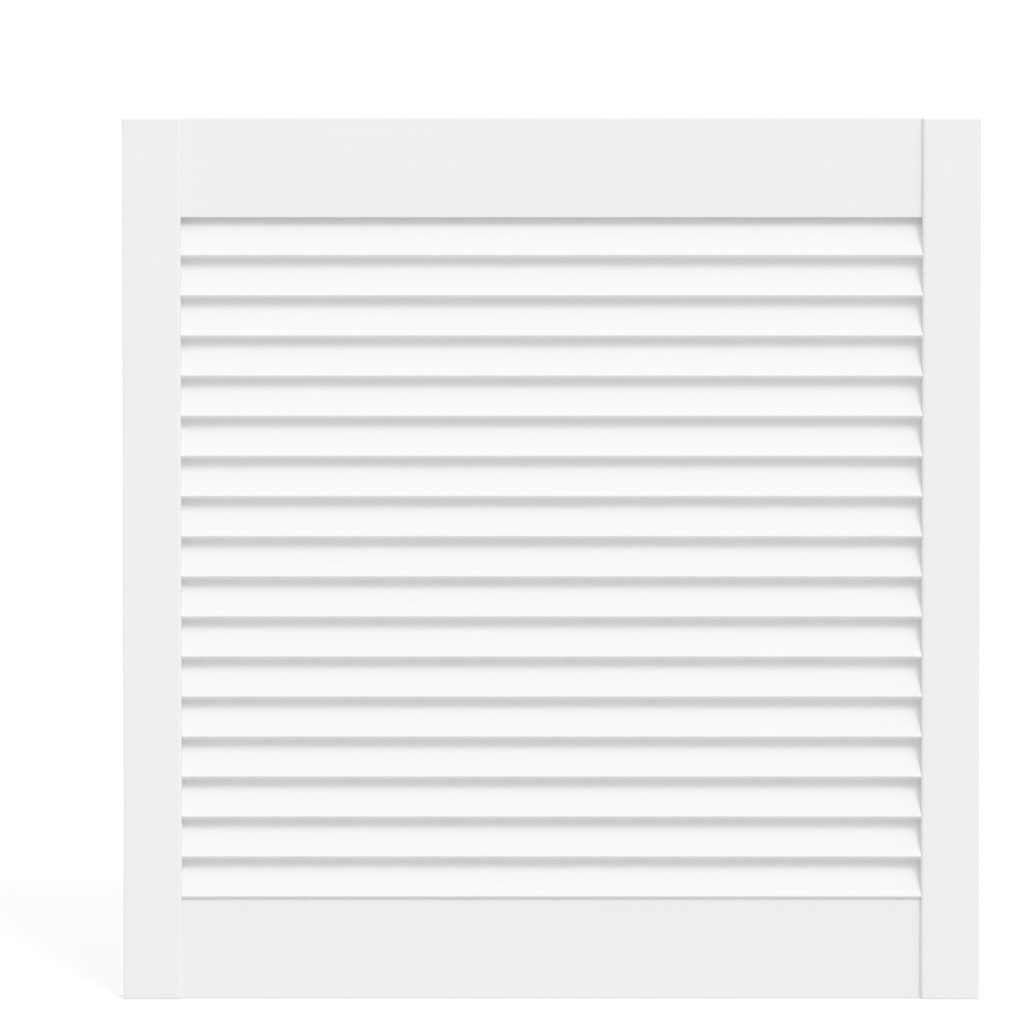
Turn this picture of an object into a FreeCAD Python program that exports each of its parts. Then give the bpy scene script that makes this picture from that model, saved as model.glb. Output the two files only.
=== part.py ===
"""Louvred cabinet door: two stiles, two rails and a stack of fixed slats housed in the stiles.

Sizes are in millimetres and the tilt is in degrees from the vertical. X runs from the hinge edge to
the free edge, Y from the front to the back and Z upwards. The origin is the centre of the hinge edge.
"""
import FreeCAD
import Part
import Sketcher
import math
import os

Vector = FreeCAD.Vector

# Driving dimensions
DIMENSIONS = {
    "door_width": 594.0,
    "door_height": 616.0,
    "stile_width": 40.5,
    "stile_thickness": 21.0,
    "stile_inner_arris": 2.5,
    "stile_outer_arris": 1.0,
    "stile_end_chamfer": 0.7,
    "rail_height": 69.5,
    "rail_thickness": 13.0,
    "rail_arris": 0.8,
    "tenon_height": 50.0,
    "tenon_thickness": 7.0,
    "tenon_length": 24.0,
    "tenon_clearance": 0.1,
    "tenon_end_gap": 1.0,
    "slat_count": 17,
    "slat_width": 30.0,
    "slat_thickness": 5.5,
    "slat_arris": 1.0,
    "slat_tilt": 30.0,
    "slat_rail_gap": 0.25,
    "housing_depth": 8.0,
    "housing_clearance": 0.1,
    "housing_end_gap": 0.4,
}

# Derived sizes, as expressions over the sheet
OPENING_WIDTH = "(Dims.door_width - 2 * Dims.stile_width)"
OPENING_HEIGHT = "(Dims.door_height - 2 * Dims.rail_height)"
STILE_SPACING = "(Dims.door_width - Dims.stile_width)"
RAIL_LEVEL = "(Dims.door_height - Dims.rail_height) / 2"
TENON_SPAN = f"({OPENING_WIDTH} + 2 * Dims.tenon_length)"
MORTISE_HEIGHT = "(Dims.tenon_height + 2 * Dims.tenon_clearance)"
MORTISE_THICKNESS = "(Dims.tenon_thickness + 2 * Dims.tenon_clearance)"
MORTISE_DEPTH = "(Dims.tenon_length + Dims.tenon_end_gap)"
ROUNDING_LOSS = "2 * Dims.slat_arris * (cos(Dims.slat_tilt) + sin(Dims.slat_tilt) - 1)"
SLAT_RISE = (
    "(Dims.slat_width * cos(Dims.slat_tilt) + Dims.slat_thickness * sin(Dims.slat_tilt)"
    f" - {ROUNDING_LOSS})"
)
SLAT_RUN = f"({OPENING_HEIGHT} - {SLAT_RISE} - 2 * Dims.slat_rail_gap)"
SLAT_LENGTH = f"({OPENING_WIDTH} + 2 * (Dims.housing_depth - Dims.housing_end_gap))"
HOUSING_WIDTH = "(Dims.slat_width + 2 * Dims.housing_clearance)"
HOUSING_THICKNESS = "(Dims.slat_thickness + 2 * Dims.housing_clearance)"
HOUSING_ARRIS = "(Dims.slat_arris + Dims.housing_clearance)"

LEFT = -1
RIGHT = 1
TOP = 1
BOTTOM = -1
SIDEWAYS = Vector(1, 0, 0)
UPWARD = Vector(0, 0, 1)
PARALLEL = 1e-6


def make_sheet(doc):
    """Put every driving dimension in a sheet under its own alias."""
    sheet = doc.addObject("Spreadsheet::Sheet", "Dims")
    for row, (alias, value) in enumerate(DIMENSIONS.items(), start=1):
        sheet.set(f"A{row}", alias)
        sheet.set(f"B{row}", str(value))
        sheet.setAlias(f"B{row}", alias)
    doc.recompute()
    return sheet


def number(doc, expression):
    """The value that an expression over the sheet has now."""
    value = doc.Dims.evalExpression(expression)
    return float(getattr(value, "Value", value))


def origin_feature(body, role):
    """The origin plane or axis of a body that has this role."""
    return next(item for item in body.Origin.OriginFeatures if item.Role == role)


def make_sketch(body, name, plane):
    """An empty sketch on one of the body's own origin planes."""
    sketch = body.newObject("Sketcher::SketchObject", name)
    sketch.AttachmentSupport = [(origin_feature(body, plane), "")]
    sketch.MapMode = "FlatFace"
    return sketch


def bind_datum(sketch, name, constraint, expression):
    """Add a named dimension to a sketch and bind it to the sheet."""
    index = sketch.addConstraint(constraint)
    sketch.renameConstraint(index, name)
    sketch.setExpression(f"Constraints.{name}", expression)


def draw_rectangle(sketch, width, height):
    """A rectangle about the sketch's origin."""
    wide = number(sketch.Document, width)
    high = number(sketch.Document, height)
    corners = [
        Vector(-wide / 2, -high / 2, 0),
        Vector(wide / 2, -high / 2, 0),
        Vector(wide / 2, high / 2, 0),
        Vector(-wide / 2, high / 2, 0),
    ]
    for start, end in zip(corners, corners[1:] + corners[:1]):
        sketch.addGeometry(Part.LineSegment(start, end), False)
    low, right, high_line, left = range(4)
    for line, following in ((low, right), (right, high_line), (high_line, left), (left, low)):
        sketch.addConstraint(Sketcher.Constraint("Coincident", line, 2, following, 1))
    for line in (low, high_line):
        sketch.addConstraint(Sketcher.Constraint("Horizontal", line))
    for line in (right, left):
        sketch.addConstraint(Sketcher.Constraint("Vertical", line))
    sketch.addConstraint(Sketcher.Constraint("Symmetric", low, 1, high_line, 1, -1, 1))
    bind_datum(sketch, "wide", Sketcher.Constraint("DistanceX", low, 1, low, 2, wide), width)
    bind_datum(sketch, "high", Sketcher.Constraint("DistanceY", right, 1, right, 2, high), height)


def draw_rounded_rectangle(sketch, width, height, radius):
    """A rectangle with rounded corners about the sketch's origin."""
    wide = number(sketch.Document, width)
    high = number(sketch.Document, height)
    rounding = number(sketch.Document, radius)
    across = wide / 2 - rounding
    upward = high / 2 - rounding
    sides = [
        (Vector(-across, -high / 2, 0), Vector(across, -high / 2, 0)),
        (Vector(wide / 2, -upward, 0), Vector(wide / 2, upward, 0)),
        (Vector(across, high / 2, 0), Vector(-across, high / 2, 0)),
        (Vector(-wide / 2, upward, 0), Vector(-wide / 2, -upward, 0)),
    ]
    centres = [
        Vector(across, -upward, 0),
        Vector(across, upward, 0),
        Vector(-across, upward, 0),
        Vector(-across, -upward, 0),
    ]
    lines = [sketch.addGeometry(Part.LineSegment(*side), False) for side in sides]
    arcs = []
    for turn, centre in enumerate(centres):
        circle = Part.Circle(centre, Vector(0, 0, 1), rounding)
        start = (turn - 1) * math.pi / 2
        arcs.append(sketch.addGeometry(Part.ArcOfCircle(circle, start, start + math.pi / 2), False))
    for corner in range(4):
        following = lines[(corner + 1) % 4]
        sketch.addConstraint(Sketcher.Constraint("Tangent", lines[corner], 2, arcs[corner], 1))
        sketch.addConstraint(Sketcher.Constraint("Tangent", arcs[corner], 2, following, 1))
    sketch.addConstraint(Sketcher.Constraint("Horizontal", lines[0]))
    sketch.addConstraint(Sketcher.Constraint("Horizontal", lines[2]))
    sketch.addConstraint(Sketcher.Constraint("Vertical", lines[1]))
    sketch.addConstraint(Sketcher.Constraint("Vertical", lines[3]))
    for arc in arcs[1:]:
        sketch.addConstraint(Sketcher.Constraint("Equal", arcs[0], arc))
    sketch.addConstraint(Sketcher.Constraint("Symmetric", arcs[0], 3, arcs[2], 3, -1, 1))
    bind_datum(sketch, "rounding", Sketcher.Constraint("Radius", arcs[0], rounding), radius)
    bind_datum(
        sketch, "wide", Sketcher.Constraint("DistanceX", lines[3], 1, lines[1], 2, wide), width
    )
    bind_datum(
        sketch, "high", Sketcher.Constraint("DistanceY", lines[0], 2, lines[2], 1, high), height
    )


def add_pad(body, name, sketch, length):
    """Pad a sketch equally to both sides of its plane."""
    pad = body.newObject("PartDesign::Pad", name)
    pad.Profile = sketch
    pad.SideType = "Symmetric"
    pad.setExpression("Length", length)
    body.Document.recompute()
    return pad


def add_pocket(body, name, sketch, depth, side):
    """Cut a sketch that lies on the inner edge of a stile into that stile."""
    before = body.Shape.Volume
    pocket = body.newObject("PartDesign::Pocket", name)
    pocket.Profile = sketch
    pocket.Reversed = side == RIGHT
    pocket.setExpression("Length", depth)
    body.Document.recompute()
    if not body.Shape.Volume < before:
        raise RuntimeError(f"{body.Label}: {name} cuts nothing")
    return pocket


def dress_edges(body, kind, name, base, wanted, size, length):
    """Fillet or chamfer the edges of a feature that pass a test, to a length bound to the sheet."""
    edges = [f"Edge{index}" for index, edge in enumerate(base.Shape.Edges, start=1) if wanted(edge)]
    dressing = body.newObject(kind, name)
    dressing.Base = (base, edges)
    dressing.setExpression(size, length)
    body.Document.recompute()
    return dressing


def add_rounding(body, name, base, wanted, radius):
    """Round the edges of a feature that pass a test."""
    return dress_edges(body, "PartDesign::Fillet", name, base, wanted, "Radius", radius)


def add_chamfer(body, name, base, wanted, width):
    """Chamfer the edges of a feature that pass a test."""
    return dress_edges(body, "PartDesign::Chamfer", name, base, wanted, "Size", width)


def runs_along(edge, axis):
    """Whether an edge is parallel to an axis."""
    run = edge.Vertexes[-1].Point - edge.Vertexes[0].Point
    return run.cross(axis).Length < PARALLEL * run.Length


def ease_stile(body, blank, side):
    """Round the inner arrises of a stile broadly and the outer ones finely, and chamfer its ends."""

    def inner_upright(edge):
        return runs_along(edge, UPWARD) and side * edge.CenterOfMass.x < 0

    def outer_upright(edge):
        return runs_along(edge, UPWARD) and side * edge.CenterOfMass.x > 0

    def end_edge(edge):
        return not runs_along(edge, UPWARD)

    inner = add_rounding(body, "inner_rounding", blank, inner_upright, "Dims.stile_inner_arris")
    outer = add_rounding(body, "outer_rounding", inner, outer_upright, "Dims.stile_outer_arris")
    add_chamfer(body, "end_chamfer", outer, end_edge, "Dims.stile_end_chamfer")


def seat_sketch(body, name, side, level):
    """A sketch on the inner edge of a stile, at a level above the middle of the door."""
    sketch = make_sketch(body, name, "YZ_Plane")
    sketch.setExpression("AttachmentOffset.Base.y", level)
    sketch.setExpression("AttachmentOffset.Base.z", f"{-side} * Dims.stile_width / 2")
    return sketch


def cut_rail_mortise(body, name, side, end):
    """The blind mortise for the tenon of one rail."""
    sketch = seat_sketch(body, f"{name}_section", side, f"{end} * {RAIL_LEVEL}")
    draw_rectangle(sketch, MORTISE_THICKNESS, MORTISE_HEIGHT)
    add_pocket(body, name, sketch, MORTISE_DEPTH, side)


def cut_slat_housings(body, side):
    """The ladder of slanted stopped housings that hold the slat ends."""
    sketch = seat_sketch(body, "housing_section", side, f"-{SLAT_RUN} / 2")
    sketch.AttachmentOffset = FreeCAD.Placement(
        sketch.AttachmentOffset.Base, FreeCAD.Rotation(Vector(0, 0, -1), DIMENSIONS["slat_tilt"])
    )
    sketch.setExpression("AttachmentOffset.Rotation.Angle", "Dims.slat_tilt")
    draw_rounded_rectangle(sketch, HOUSING_THICKNESS, HOUSING_WIDTH, HOUSING_ARRIS)
    housing = add_pocket(body, "housing", sketch, "Dims.housing_depth", side)
    ladder = body.newObject("PartDesign::LinearPattern", "housing_ladder")
    ladder.Originals = [housing]
    ladder.Direction = (origin_feature(body, "Z_Axis"), [""])
    ladder.setExpression("Length", SLAT_RUN)
    ladder.setExpression("Occurrences", "Dims.slat_count")
    body.Tip = ladder
    body.Document.recompute()


def build_stile(doc, name, side):
    """An upright with eased arrises, two rail mortises and the ladder of slat housings."""
    body = doc.addObject("PartDesign::Body", name)
    body.setExpression("Placement.Base.x", f"(Dims.door_width + {side} * {STILE_SPACING}) / 2")
    section = make_sketch(body, "stile_section", "XY_Plane")
    draw_rectangle(section, "Dims.stile_width", "Dims.stile_thickness")
    blank = add_pad(body, "stile_blank", section, "Dims.door_height")
    ease_stile(body, blank, side)
    cut_rail_mortise(body, "top_mortise", side, TOP)
    cut_rail_mortise(body, "bottom_mortise", side, BOTTOM)
    cut_slat_housings(body, side)
    return body


def build_rail(doc, name, end):
    """A cross member, thinner than the stiles, with a stub tenon at each end."""
    body = doc.addObject("PartDesign::Body", name)
    body.setExpression("Placement.Base.x", "Dims.door_width / 2")
    body.setExpression("Placement.Base.z", f"{end} * {RAIL_LEVEL}")
    section = make_sketch(body, "rail_section", "YZ_Plane")
    draw_rectangle(section, "Dims.rail_thickness", "Dims.rail_height")
    blank = add_pad(body, "rail_blank", section, OPENING_WIDTH)
    add_rounding(
        body, "rail_rounding", blank, lambda edge: runs_along(edge, SIDEWAYS), "Dims.rail_arris"
    )
    tenon = make_sketch(body, "tenon_section", "YZ_Plane")
    draw_rectangle(tenon, "Dims.tenon_thickness", "Dims.tenon_height")
    add_pad(body, "tenons", tenon, TENON_SPAN)
    return body


def build_slat(doc, index):
    """One fixed louvre, leaning back from its lower front edge. The first slat is at the top."""
    body = doc.addObject("PartDesign::Body", f"slat_{index + 1:02d}")
    body.Placement = FreeCAD.Placement(
        Vector(0, 0, 0), FreeCAD.Rotation(Vector(-1, 0, 0), DIMENSIONS["slat_tilt"])
    )
    body.setExpression("Placement.Rotation.Angle", "Dims.slat_tilt")
    body.setExpression("Placement.Base.x", "Dims.door_width / 2")
    level = f"{SLAT_RUN} * (1 / 2 - {index} / (Dims.slat_count - 1))"
    body.setExpression("Placement.Base.z", level)
    section = make_sketch(body, "slat_section", "YZ_Plane")
    draw_rounded_rectangle(section, "Dims.slat_thickness", "Dims.slat_width", "Dims.slat_arris")
    add_pad(body, "slat_blank", section, SLAT_LENGTH)
    return body


def check(doc, bodies):
    """Stop on any object in error and on any sub-part that is not one valid solid."""
    for item in doc.Objects:
        if "Invalid" in item.State or "Error" in item.State:
            raise RuntimeError(f"{item.Label}: {item.State}")
    for body in bodies:
        shape = body.Shape
        if shape.isNull() or not shape.isValid() or len(shape.Solids) != 1:
            raise RuntimeError(f"{body.Label}: not one valid solid")


def export(bodies):
    """Write each sub-part to a file named for its label."""
    os.makedirs("parts", exist_ok=True)
    for body in bodies:
        body.Shape.exportStep(f"parts/{body.Label}.step")


def main():
    """Build, check and write every piece of the door."""
    doc = FreeCAD.newDocument("louvred_door")
    make_sheet(doc)
    bodies = [build_stile(doc, "left_stile", LEFT), build_stile(doc, "right_stile", RIGHT)]
    bodies += [build_rail(doc, "top_rail", TOP), build_rail(doc, "bottom_rail", BOTTOM)]
    bodies += [build_slat(doc, index) for index in range(DIMENSIONS["slat_count"])]
    doc.recompute()
    check(doc, bodies)
    export(bodies)


main()
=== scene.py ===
"""Looks of the louvred door: satin white paint over pine, studio floor, light and camera.

Lengths are in metres. X runs from the hinge edge to the free edge, Y from the front to the back and
Z upwards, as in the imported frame.
"""
import bpy
import math
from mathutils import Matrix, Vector


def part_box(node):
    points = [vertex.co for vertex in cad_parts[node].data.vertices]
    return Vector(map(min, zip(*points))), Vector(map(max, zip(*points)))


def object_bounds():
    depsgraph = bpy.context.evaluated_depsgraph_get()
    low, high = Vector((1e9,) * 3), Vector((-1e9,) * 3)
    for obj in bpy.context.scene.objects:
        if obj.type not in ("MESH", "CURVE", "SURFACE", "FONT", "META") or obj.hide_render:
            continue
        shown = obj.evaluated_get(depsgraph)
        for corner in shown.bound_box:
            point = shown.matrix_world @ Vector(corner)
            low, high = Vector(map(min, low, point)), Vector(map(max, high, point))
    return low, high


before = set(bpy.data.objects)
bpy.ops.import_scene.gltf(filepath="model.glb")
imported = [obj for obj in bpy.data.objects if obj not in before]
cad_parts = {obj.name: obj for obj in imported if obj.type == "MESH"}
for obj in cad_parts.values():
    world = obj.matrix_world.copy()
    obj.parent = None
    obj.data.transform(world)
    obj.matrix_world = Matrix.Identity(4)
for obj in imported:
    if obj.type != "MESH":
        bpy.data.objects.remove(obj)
cad_low, cad_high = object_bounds()
middle = (cad_low + cad_high) / 2

# Pieces of the door
STILES = ["left_stile", "right_stile"]
RAILS = ["top_rail", "bottom_rail"]
SLATS = sorted(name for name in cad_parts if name.startswith("slat_"))

# White satin paint: its colour over soft and over hard grain, and its gloss
PAINT_OVER_SOFT = (0.854, 0.849, 0.841, 1.0)
PAINT_OVER_HARD = (0.864, 0.859, 0.851, 1.0)
PAINT_IOR = 1.46
SMOOTHEST = 0.38
ROUGHEST = 0.52

# Pine grain under the paint: noise cells in a metre along and across it, its rings and finer pores, the
# noise of soft and of hard wood, and the height of the ridges it leaves
GRAIN_ALONG = 6.0
GRAIN_ACROSS = 420.0
RINGS = {"scale": 1.0, "detail": 3.0, "roughness": 0.55}
PORES = {"scale": 4.0, "detail": 2.0, "roughness": 0.5}
PORES_SHARE = 0.35
GRAIN_SOFT = 0.3
GRAIN_HARD = 0.7
GRAIN_HEIGHT = 0.00005

# Skin of the sprayed paint: its pebbles and its gloss, scaled in noise cells in a metre, and the height
# of the pebbles
PEBBLES = {"scale": 900.0, "detail": 2.0, "roughness": 0.5}
GLOSS = {"scale": 26.0, "detail": 3.0, "roughness": 0.6}
PEBBLE_HEIGHT = 0.000008

# Photograph: its size and the edges of the door in it, in pixels, with the top and the bottom midway
# between the edges of the stiles and those of the rails
IMAGE_SIZE = 1024
DOOR_LEFT_PX = 124.7
DOOR_RIGHT_PX = 978.3
DOOR_TOP_PX = 117.4
DOOR_BOTTOM_PX = 1002.2

# Camera, with its sensor's width in millimetres
CAMERA_DISTANCE = 14.0
CAMERA_AZIMUTH = math.radians(0.0)
CAMERA_ELEVATION = math.radians(7.5)
CAMERA_REACH = 100.0
SENSOR_MM = 36.0

# Light from all around, with a little more from the right
AMBIENT = 0.86
AMBIENT_TINT = (0.976, 1.0, 1.0, 1.0)
AMBIENT_LEAN = (0.10, 0.0, 0.0)
BACKDROP = (1.0, 1.0, 1.0, 1.0)

# Lamps: the level by which each lifts a white face square on to it, its tint and its place
KEY_LEVEL = 0.318
KEY_TINT = (1.0, 1.0, 1.10)
KEY_AZIMUTH = math.radians(25.0)
KEY_ELEVATION = math.radians(38.0)
KEY_SOFTNESS = math.radians(24.0)
FILL_LEVEL = 0.10
FILL_TINT = (1.0, 1.0, 1.0)
FILL_AZIMUTH = math.radians(180.0)
FILL_ELEVATION = math.radians(20.0)
FILL_SOFTNESS = math.radians(30.0)
LAMP_DISTANCE = 2.0

# Floor: its look, a little warm so that its shadow is neutral in the cool ambient light, and the even
# light that it gives back to the door
FLOOR_RADIUS = 12.0
FLOOR_SIDES = 96
FLOOR_COLOUR = (0.943, 0.92, 0.92, 1.0)
FLOOR_LIFT = 0.16
FLOOR_BOUNCE = 0.675


def direction(azimuth, elevation):
    """The way from the door to something seen at this azimuth, right of the front, and elevation."""
    flat = math.cos(elevation)
    return Vector((math.sin(azimuth) * flat, -math.cos(azimuth) * flat, math.sin(elevation)))


def link(tree, source, output, target, socket):
    """Join two nodes of a tree by the names or numbers of their sockets."""
    tree.links.new(source.outputs[output], target.inputs[socket])


# Paint


def new_group(name, inputs, outputs):
    """An empty shader node group with named sockets, and its first and last nodes."""
    group = bpy.data.node_groups.new(name, "ShaderNodeTree")
    for in_out, sockets in (("INPUT", inputs), ("OUTPUT", outputs)):
        for socket, kind in sockets:
            group.interface.new_socket(name=socket, in_out=in_out, socket_type=kind)
    start = group.nodes.new("NodeGroupInput")
    end = group.nodes.new("NodeGroupOutput")
    return group, start, end


def noise(tree, scale, detail, roughness):
    """A noise texture node with these settings."""
    node = tree.nodes.new("ShaderNodeTexNoise")
    node.inputs["Scale"].default_value = scale
    node.inputs["Detail"].default_value = detail
    node.inputs["Roughness"].default_value = roughness
    return node


def build_grain_group():
    """Pine grain showing faintly through paint: long soft ridges along the least stretched axis."""
    group, start, end = new_group(
        "pine_grain",
        [("Position", "NodeSocketVector"), ("Stretch", "NodeSocketVector")],
        [("Relief", "NodeSocketFloat"), ("Hardness", "NodeSocketFloat")],
    )
    stretched = group.nodes.new("ShaderNodeVectorMath")
    stretched.operation = "MULTIPLY"
    link(group, start, "Position", stretched, 0)
    link(group, start, "Stretch", stretched, 1)
    rings = noise(group, **RINGS)
    pores = noise(group, **PORES)
    for texture in (rings, pores):
        link(group, stretched, "Vector", texture, "Vector")
    blend = group.nodes.new("ShaderNodeMix")
    blend.inputs["Factor"].default_value = PORES_SHARE
    link(group, rings, "Fac", blend, "A")
    link(group, pores, "Fac", blend, "B")
    hardness = group.nodes.new("ShaderNodeMapRange")
    hardness.inputs["From Min"].default_value = GRAIN_SOFT
    hardness.inputs["From Max"].default_value = GRAIN_HARD
    link(group, rings, "Fac", hardness, "Value")
    link(group, blend, "Result", end, "Relief")
    link(group, hardness, "Result", end, "Hardness")
    return group


def build_skin_group():
    """The skin of sprayed paint: a fine pebbled surface and slow changes of gloss."""
    group, start, end = new_group(
        "sprayed_skin",
        [("Position", "NodeSocketVector")],
        [("Pebble", "NodeSocketFloat"), ("Gloss", "NodeSocketFloat")],
    )
    pebble = noise(group, **PEBBLES)
    gloss = noise(group, **GLOSS)
    for texture in (pebble, gloss):
        link(group, start, "Position", texture, "Vector")
    link(group, pebble, "Fac", end, "Pebble")
    link(group, gloss, "Fac", end, "Gloss")
    return group


def add_group(tree, group, position):
    """Place a node group in a material, on the piece's own coordinates."""
    node = tree.nodes.new("ShaderNodeGroup")
    node.node_tree = group
    link(tree, position, "Object", node, "Position")
    return node


def add_bump(tree, source, output, height):
    """Turn a relief into a bump of this height."""
    bump = tree.nodes.new("ShaderNodeBump")
    bump.inputs["Distance"].default_value = height
    link(tree, source, output, bump, "Height")
    return bump


def painted_pine(name, grain_group, skin_group, stretch):
    """White satin paint over pine whose grain runs along the least stretched axis."""
    material = bpy.data.materials.new(name)
    material.use_nodes = True
    tree = material.node_tree
    shader = tree.nodes["Principled BSDF"]
    shader.inputs["IOR"].default_value = PAINT_IOR
    position = tree.nodes.new("ShaderNodeTexCoord")
    grain = add_group(tree, grain_group, position)
    grain.inputs["Stretch"].default_value = stretch
    skin = add_group(tree, skin_group, position)
    colour = tree.nodes.new("ShaderNodeMix")
    colour.data_type = "RGBA"
    colour.inputs["A"].default_value = PAINT_OVER_SOFT
    colour.inputs["B"].default_value = PAINT_OVER_HARD
    link(tree, grain, "Hardness", colour, "Factor")
    link(tree, colour, "Result", shader, "Base Color")
    roughness = tree.nodes.new("ShaderNodeMapRange")
    roughness.inputs["To Min"].default_value = SMOOTHEST
    roughness.inputs["To Max"].default_value = ROUGHEST
    link(tree, skin, "Gloss", roughness, "Value")
    link(tree, roughness, "Result", shader, "Roughness")
    ridges = add_bump(tree, grain, "Relief", GRAIN_HEIGHT)
    pebbles = add_bump(tree, skin, "Pebble", PEBBLE_HEIGHT)
    link(tree, ridges, "Normal", pebbles, "Normal")
    link(tree, pebbles, "Normal", shader, "Normal")
    return material


def paint(names, material):
    """Give a finish to some of the door's pieces."""
    for name in names:
        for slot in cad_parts[name].material_slots:
            slot.material = material


def paint_door():
    """Paint every piece, with the grain along its length."""
    groups = (build_grain_group(), build_skin_group())
    upright = (GRAIN_ACROSS, GRAIN_ACROSS, GRAIN_ALONG)
    level = (GRAIN_ALONG, GRAIN_ACROSS, GRAIN_ACROSS)
    paint(STILES, painted_pine("upright_white_satin", *groups, upright))
    paint(RAILS + SLATS, painted_pine("level_white_satin", *groups, level))


# Studio


def seen_directly(tree):
    """A mask for what the camera sees, straight or by a reflection or through glass."""
    path = tree.nodes.new("ShaderNodeLightPath")
    either = tree.nodes.new("ShaderNodeMath")
    either.operation = "MAXIMUM"
    link(tree, path, "Is Camera Ray", either, 0)
    link(tree, path, "Is Glossy Ray", either, 1)
    any_of_three = tree.nodes.new("ShaderNodeMath")
    any_of_three.operation = "MAXIMUM"
    link(tree, either, "Value", any_of_three, 0)
    link(tree, path, "Is Transmission Ray", any_of_three, 1)
    return any_of_three


def show_or_light(tree, shown, lighting, out):
    """Show one shader's only output to the camera, and light the door with the other's."""
    choice = tree.nodes.new("ShaderNodeMixShader")
    link(tree, seen_directly(tree), "Value", choice, "Fac")
    link(tree, lighting, 0, choice, 1)
    link(tree, shown, 0, choice, 2)
    link(tree, choice, "Shader", out, "Surface")


def build_world():
    """A pale surround that looks white and lights the door, a little more from the right."""
    world = bpy.data.worlds.new("studio")
    world.use_nodes = True
    bpy.context.scene.world = world
    tree = world.node_tree
    tree.nodes.clear()
    way = tree.nodes.new("ShaderNodeTexCoord")
    lean = tree.nodes.new("ShaderNodeVectorMath")
    lean.operation = "DOT_PRODUCT"
    lean.inputs[1].default_value = AMBIENT_LEAN
    link(tree, way, "Generated", lean, 0)
    level = tree.nodes.new("ShaderNodeMath")
    level.operation = "MULTIPLY_ADD"
    level.inputs[1].default_value = AMBIENT
    level.inputs[2].default_value = AMBIENT
    link(tree, lean, "Value", level, 0)
    lighting = tree.nodes.new("ShaderNodeBackground")
    lighting.inputs["Color"].default_value = AMBIENT_TINT
    link(tree, level, "Value", lighting, "Strength")
    backdrop = tree.nodes.new("ShaderNodeBackground")
    backdrop.inputs["Color"].default_value = BACKDROP
    show_or_light(tree, backdrop, lighting, tree.nodes.new("ShaderNodeOutputWorld"))


def floor_paper():
    """Pale paper that keeps the door's soft shadow and gives an even light back to the door."""
    material = bpy.data.materials.new("floor_paper")
    material.use_nodes = True
    tree = material.node_tree
    tree.nodes.clear()
    paper = tree.nodes.new("ShaderNodeBsdfDiffuse")
    paper.inputs["Color"].default_value = FLOOR_COLOUR
    lift = tree.nodes.new("ShaderNodeEmission")
    lift.inputs["Strength"].default_value = FLOOR_LIFT
    shown = tree.nodes.new("ShaderNodeAddShader")
    link(tree, paper, "BSDF", shown, 0)
    link(tree, lift, "Emission", shown, 1)
    bounce = tree.nodes.new("ShaderNodeEmission")
    bounce.inputs["Color"].default_value = AMBIENT_TINT
    bounce.inputs["Strength"].default_value = FLOOR_BOUNCE
    show_or_light(tree, shown, bounce, tree.nodes.new("ShaderNodeOutputMaterial"))
    return material


def build_floor():
    """A round floor at the foot of the door."""
    bpy.ops.object.select_all(action="DESELECT")
    foot = (middle.x, middle.y, cad_low.z)
    bpy.ops.mesh.primitive_circle_add(
        vertices=FLOOR_SIDES, radius=FLOOR_RADIUS, fill_type="NGON", location=foot
    )
    floor = bpy.context.object
    floor.name = "floor"
    bpy.ops.object.transform_apply(location=True)
    floor.data.materials.append(floor_paper())


def build_lamp(name, level, tint, azimuth, elevation, softness):
    """A broad soft light that would lift a white face square on to it by this level."""
    lamp = bpy.data.lights.new(name, "SUN")
    lamp.energy = level * math.pi
    lamp.color = tint
    lamp.angle = softness
    holder = bpy.data.objects.new(name, lamp)
    bpy.context.collection.objects.link(holder)
    towards = direction(azimuth, elevation)
    holder.location = middle + towards * LAMP_DISTANCE
    holder.rotation_euler = towards.to_track_quat("Z", "Y").to_euler()


def build_camera():
    """A long lens on the door's front, framed so that its edges lie as in the photograph."""
    data = bpy.data.cameras.new("camera")
    camera = bpy.data.objects.new("camera", data)
    bpy.context.collection.objects.link(camera)
    bpy.context.scene.camera = camera
    towards = direction(CAMERA_AZIMUTH, CAMERA_ELEVATION)
    turn = towards.to_track_quat("Z", "Y")
    across = (cad_high.x - cad_low.x) / (DOOR_RIGHT_PX - DOOR_LEFT_PX)
    upward = (cad_high.z - cad_low.z) * math.cos(CAMERA_ELEVATION) / (DOOR_BOTTOM_PX - DOOR_TOP_PX)
    metres_per_pixel = (across + upward) / 2
    right_of_centre = (DOOR_LEFT_PX + DOOR_RIGHT_PX - IMAGE_SIZE) / 2 * metres_per_pixel
    below_centre = (DOOR_TOP_PX + DOOR_BOTTOM_PX - IMAGE_SIZE) / 2 * metres_per_pixel
    rail_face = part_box("top_rail")[0].y
    front = Vector((middle.x, (cad_low.y + rail_face) / 2, middle.z))
    aim = front + turn @ Vector((-right_of_centre, below_centre, 0.0))
    camera.location = aim + towards * CAMERA_DISTANCE
    camera.rotation_euler = turn.to_euler()
    data.sensor_width = SENSOR_MM
    data.lens = SENSOR_MM * CAMERA_DISTANCE / (IMAGE_SIZE * metres_per_pixel)
    data.clip_end = CAMERA_REACH


paint_door()
build_world()
build_floor()
build_lamp("key", KEY_LEVEL, KEY_TINT, KEY_AZIMUTH, KEY_ELEVATION, KEY_SOFTNESS)
build_lamp("fill", FILL_LEVEL, FILL_TINT, FILL_AZIMUTH, FILL_ELEVATION, FILL_SOFTNESS)
build_camera()
bpy.context.scene.view_settings.view_transform = "Standard"
